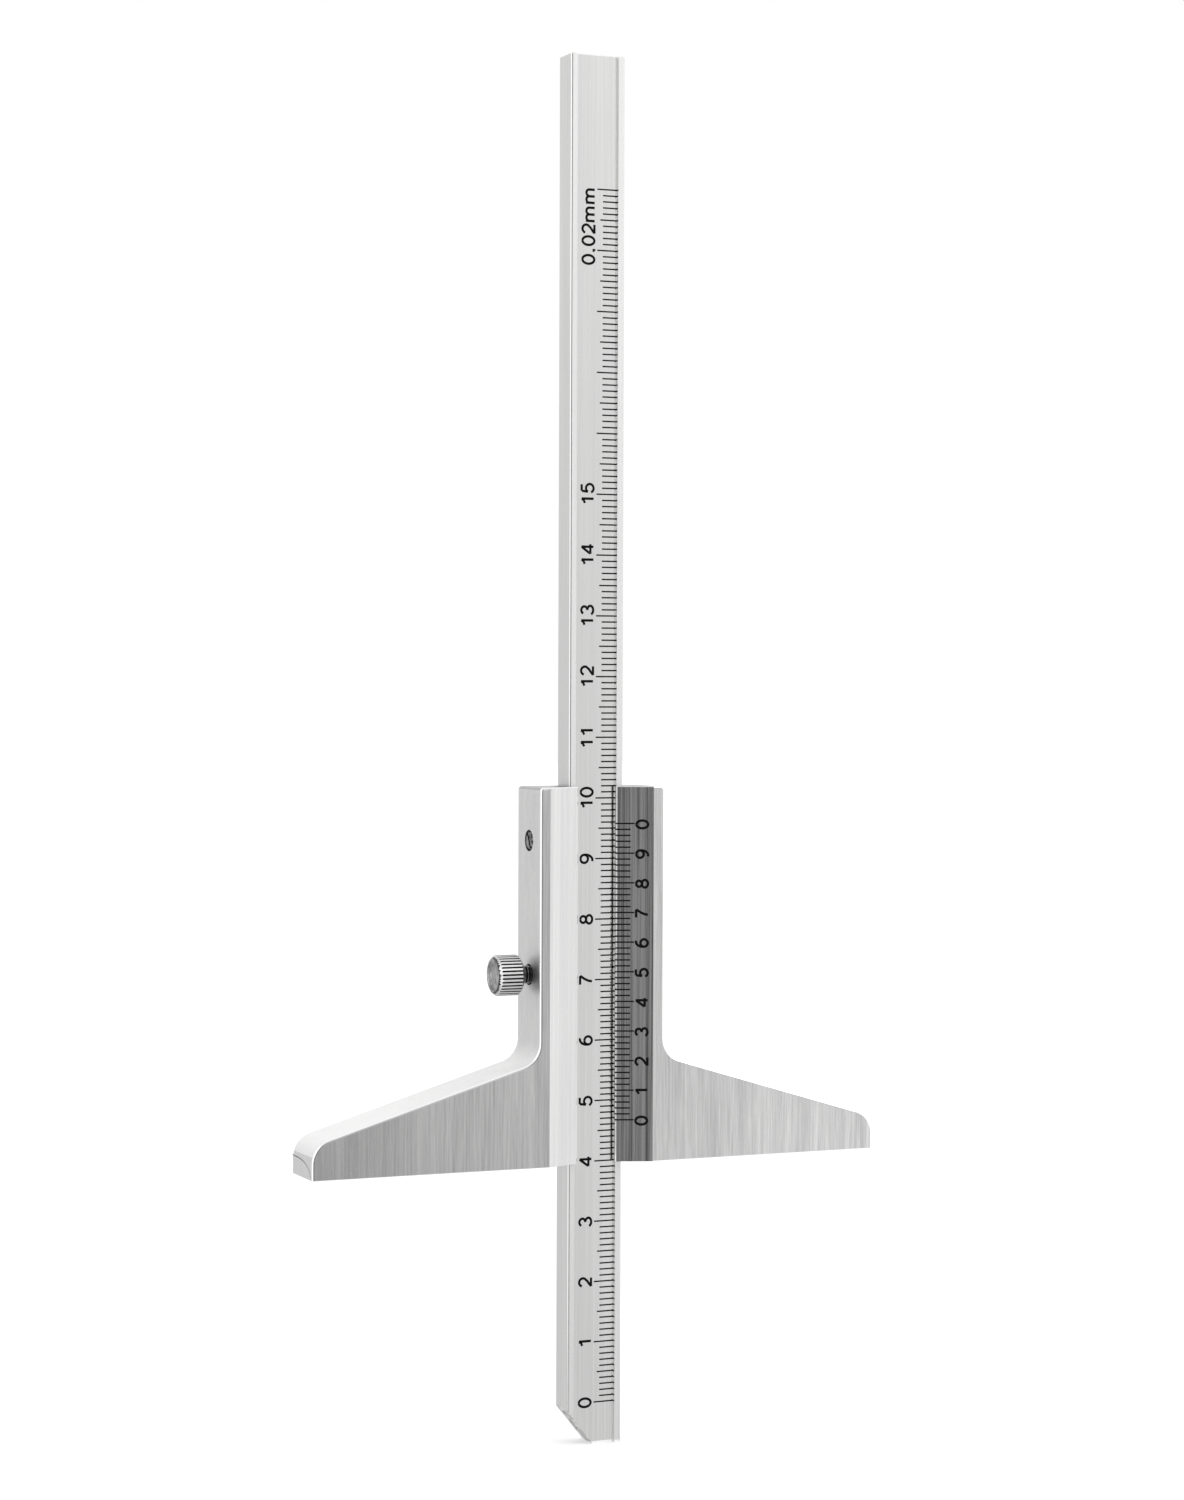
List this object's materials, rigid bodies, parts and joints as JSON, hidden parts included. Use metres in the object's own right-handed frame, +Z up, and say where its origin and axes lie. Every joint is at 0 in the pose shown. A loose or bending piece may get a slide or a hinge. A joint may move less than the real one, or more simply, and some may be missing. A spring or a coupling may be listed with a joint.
{
  "type": "vernier depth gauge",
  "caption": "Depth gauge: a graduated steel beam slides through a broad T-shaped base with a bevelled vernier beside it, and a knurled side screw locks it.",
  "frame": {"origin": "the level of the beam's foot, under the middle of the beam's width and of the base's thickness", "axes": "+Z up along the beam; +X along the base, to the right as its graduated front is looked at; the graduated front faces -Y"},
  "size_m": [0.1, 0.01, 0.2289],
  "materials": {
    "body_steel": "fine ground, satin",
    "beam_steel": "satin chrome, fine matte",
    "spring_steel": "rolled strip",
    "screw_steel": "turned",
    "knurled_steel": "knurled, plated",
    "brass": "turned",
    "black_enamel": "wiped in, matte"
  },
  "bodies": {
    "slider": {"slider_base": "body_steel", "gib_spring": "spring_steel", "vernier_scale_lines": "black_enamel"},
    "beam": {"beam": "beam_steel", "beam_scale_lines": "black_enamel"},
    "adjusting_screw": {"gib_adjusting_screw": "screw_steel"},
    "shoe": {"lock_shoe": "brass"},
    "locking_screw": {"lock_screw": "knurled_steel"}
  },
  "joints": [
    {"name": "beam_slide", "type": "slide", "parent": "slider", "child": "beam", "axis": [0, 0, -1], "range_m": [-0.0468, 0.1032]},
    {"name": "adjusting_screw_turn", "type": "hinge", "parent": "slider", "child": "adjusting_screw", "pos_m": [-0.008, 0, 0.1], "axis": [1, 0, 0], "range_deg": [-90, 90]},
    {"name": "shoe_slide", "type": "slide", "parent": "slider", "child": "shoe", "axis": [1, 0, 0], "range_m": [-0.001, 0]},
    {"name": "lock_screw_turn", "type": "hinge", "parent": "shoe", "child": "locking_screw", "pos_m": [-0.01, 0, 0.078], "axis": [1, 0, 0], "range_deg": [-720, 0]}
  ],
  "couplings": [
    {"joint": "lock_screw_turn", "follows": "shoe_slide", "rad_per_m": 12566}
  ]
}
